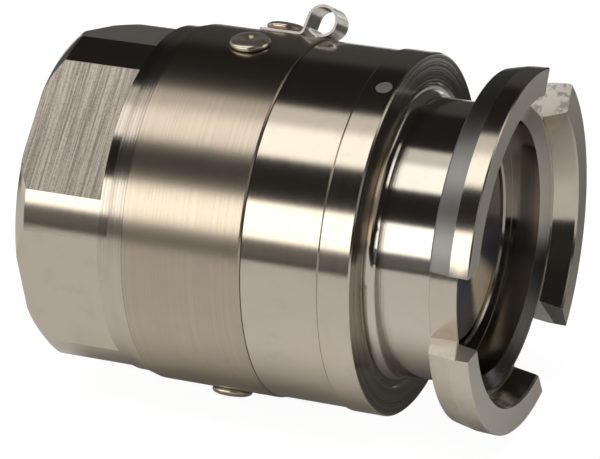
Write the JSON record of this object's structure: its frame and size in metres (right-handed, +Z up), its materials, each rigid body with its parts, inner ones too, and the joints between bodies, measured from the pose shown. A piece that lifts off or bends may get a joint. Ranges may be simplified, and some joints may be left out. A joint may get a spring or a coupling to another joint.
{
  "type": "dry break coupling",
  "caption": "Valve half of a dry break coupling: spanner-flatted pipe-thread end, turned body, bayonet flange with lugs, and a spring-closed flat-faced poppet in its front socket.",
  "frame": {"origin": "on the flow axis, where the full pipe thread begins, 1.2 mm inside the thread end face", "axes": "+X along the flow axis from the pipe thread to the bayonet flange; +Z up with the coupling lying on its side as pictured; -Y towards the viewer"},
  "size_m": [0.0735, 0.056, 0.0598],
  "materials": {
    "body_steel": "turned stainless steel, fine circumferential turning marks",
    "end_steel": "turned stainless steel with milled spanner flats",
    "screw_steel": "polished stainless steel",
    "strip_steel": "cold-rolled stainless strip",
    "valve_steel": "faced stainless steel, radial sheen",
    "spring_steel": "drawn stainless spring wire",
    "seal_rubber": "black moulded rubber",
    "ring_plastic": "off-white fluoropolymer"
  },
  "bodies": {
    "housing": {"thread_connection": "end_steel", "valve_body": "body_steel", "body_o_ring": "seal_rubber", "body_backup_ring": "ring_plastic", "lock_screws": "screw_steel", "clip_screw": "screw_steel", "lanyard_clip": "strip_steel", "collar_plug": "screw_steel", "valve_guide": "valve_steel", "guide_bush": "ring_plastic", "guide_retaining_ring": "spring_steel", "spring_washer": "screw_steel", "valve_spring": "spring_steel"},
    "valve": {"spring_cup": "strip_steel", "stem_nut": "screw_steel", "stem_washer": "screw_steel", "seal_retainer": "valve_steel", "poppet_seal": "seal_rubber", "valve_poppet": "valve_steel", "valve_stem": "valve_steel"}
  },
  "joints": [
    {"name": "valve_slide", "type": "slide", "parent": "housing", "child": "valve", "axis": [-1, 0, 0], "range_m": [0, 0.008], "stiffness_N_per_m": 2500, "springref_m": -0.006, "deforming": ["valve_spring"]}
  ]
}
